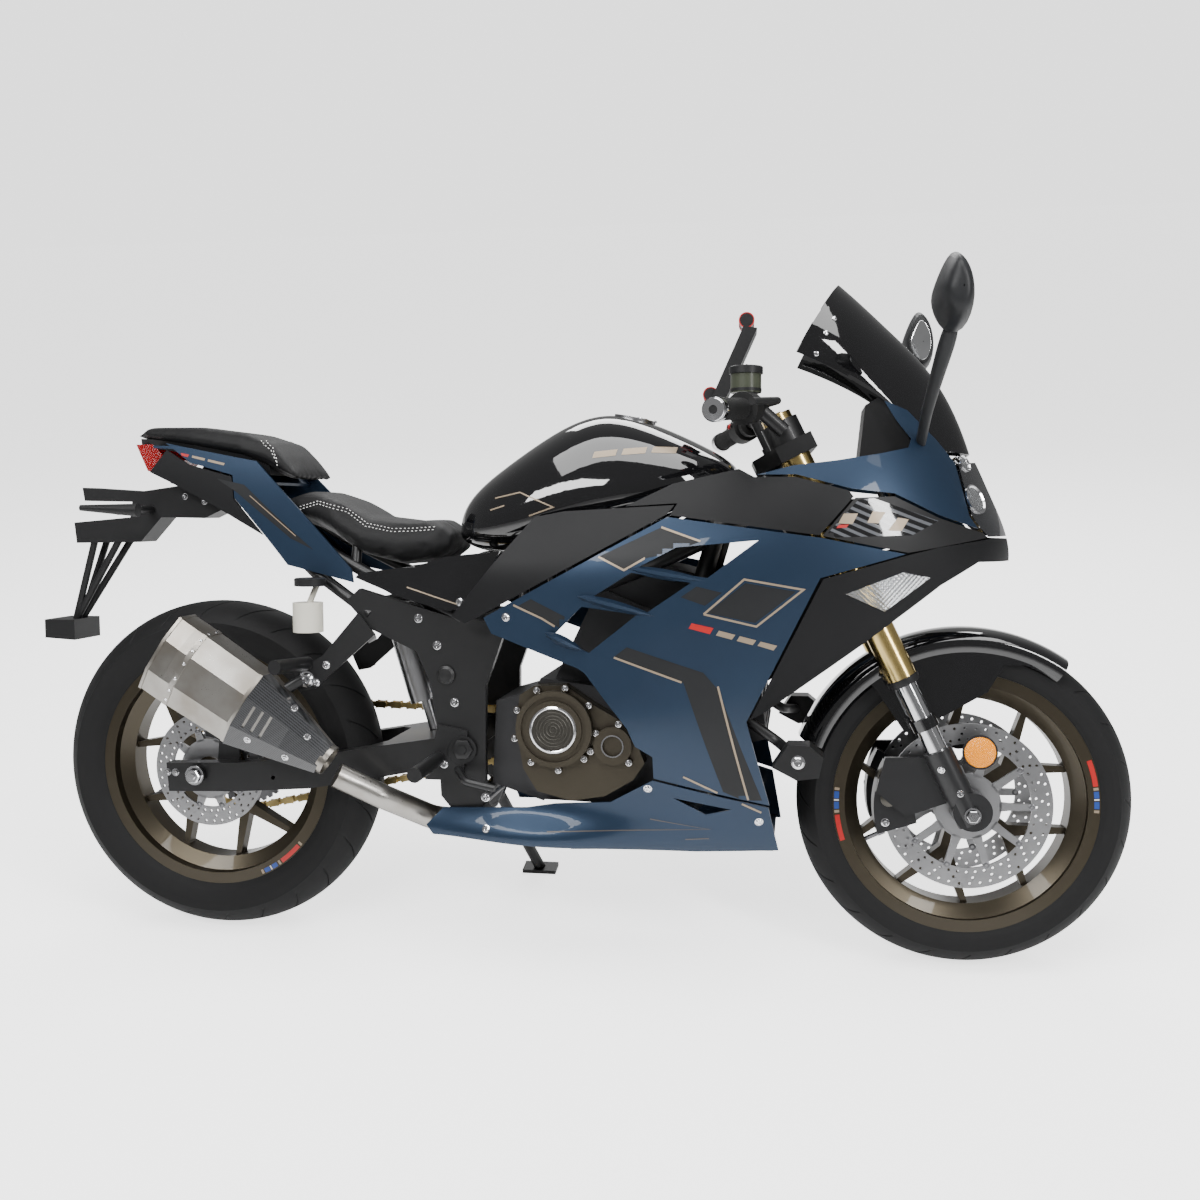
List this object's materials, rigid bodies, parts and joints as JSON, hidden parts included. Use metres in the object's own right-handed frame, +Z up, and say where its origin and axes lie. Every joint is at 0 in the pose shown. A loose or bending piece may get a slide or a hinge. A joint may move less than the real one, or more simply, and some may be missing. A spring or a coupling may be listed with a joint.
{
  "type": "sport bike",
  "caption": "Fully faired sport bike leaning on its side stand, with turning wheels, steering, a folding side stand and a hinged tank filler cap.",
  "frame": {"origin": "on the ground under the middle of the leaning bike's bounding box", "axes": "+X forward along the bike, +Y to the rider's left, +Z up; the bike leans 13 degrees to its left on the stand"},
  "size_m": [2.0466, 0.8423, 1.2388],
  "materials": {
    "tyre": "matte",
    "wheel_bronze": "satin",
    "disc_steel": "satin",
    "dark_steel": "satin",
    "chain_gold": "satin",
    "black_metal": "satin",
    "engine_grey": "matte",
    "cover_bronze": "satin",
    "radiator_black": "matte",
    "exhaust_steel": "satin",
    "dark_plastic": "matte",
    "fork_gold": "satin",
    "chrome": "polished",
    "caliper_black": "satin",
    "grip_rubber": "matte",
    "cup_plastic": "gloss",
    "gloss_black": "gloss",
    "body_blue": "satin",
    "lamp_glass": "gloss",
    "body_grey": "matte",
    "tank_black": "gloss",
    "cap_metal": "satin",
    "seat_cover": "matte",
    "screen_dark": "gloss",
    "lamp_red": "gloss",
    "shock_steel": "satin"
  },
  "bodies": {
    "chassis": {"drive_chain": "chain_gold", "swingarm": "black_metal", "main_frame": "black_metal", "panel_stays": "black_metal", "engine_block": "engine_grey", "engine_covers": "cover_bronze", "radiator": "radiator_black", "exhaust_pipe": "exhaust_steel", "muffler": "exhaust_steel", "muffler_shield": "dark_plastic", "side_fairing_right": "body_blue", "side_fairing_left": "body_blue", "nose_lower_panels": "body_grey", "headlamps": "lamp_glass", "brow_panels": "dark_plastic", "upper_cowl": "body_blue", "front_indicators": "lamp_glass", "tank_side_panels": "body_grey", "shoulder_panels": "body_grey", "belly_pan": "body_blue", "tail_cowl": "body_blue", "tail_under_panels": "body_grey", "seat_side_panels": "gloss_black", "fuel_tank": "tank_black", "rider_seat": "seat_cover", "pillion_seat": "seat_cover", "windscreen": "screen_dark", "cockpit": "dark_plastic", "mirrors": "dark_plastic", "tail_lamp": "lamp_red", "plate_bracket": "dark_plastic", "shock": "shock_steel", "rear_caliper": "caliper_black", "footrests": "black_metal", "rear_reservoir": "cup_plastic", "crash_guards": "black_metal"},
    "steering": {"fork_tubes": "fork_gold", "stanchions": "chrome", "fork_feet": "black_metal", "front_calipers": "caliper_black", "triple_clamps": "black_metal", "handlebars": "black_metal", "bar_controls": "grip_rubber", "front_reservoir": "cup_plastic", "phone_holder": "dark_plastic", "front_fender": "gloss_black"},
    "front_wheel": {"front_tyre": "tyre", "front_rim": "wheel_bronze", "front_discs": "disc_steel"},
    "rear_wheel": {"rear_tyre": "tyre", "rear_rim": "wheel_bronze", "rear_disc": "disc_steel", "rear_sprocket": "dark_steel"},
    "side_stand": {"side_stand": "black_metal"},
    "filler_cap": {"filler_cap": "cap_metal"}
  },
  "joints": [
    {"name": "steering", "type": "hinge", "parent": "chassis", "child": "steering", "pos_m": [0.42437, -0.0307, 0.82295], "axis": [-0.4384, 0.2025, 0.8757], "range_deg": [-30.2, 23.8]},
    {"name": "front_wheel", "type": "hinge", "parent": "steering", "child": "front_wheel", "pos_m": [0.73195, -0.15292, 0.28575], "axis": [-0.0502, 0.9673, -0.2488], "continuous": true},
    {"name": "rear_wheel", "type": "hinge", "parent": "chassis", "child": "rear_wheel", "pos_m": [-0.668, -0.14885, 0.31201], "axis": [0, 0.9743, -0.2253], "continuous": true},
    {"name": "side_stand", "type": "hinge", "parent": "chassis", "child": "side_stand", "pos_m": [-0.148, -0.06694, 0.23124], "axis": [0.0869, 0.9124, 0.4], "range_deg": [0, 91]},
    {"name": "filler_cap", "type": "hinge", "parent": "chassis", "child": "filler_cap", "pos_m": [0.18127, -0.00211, 0.9466], "axis": [0, 0.9743, -0.2253], "range_deg": [0, 95]}
  ]
}
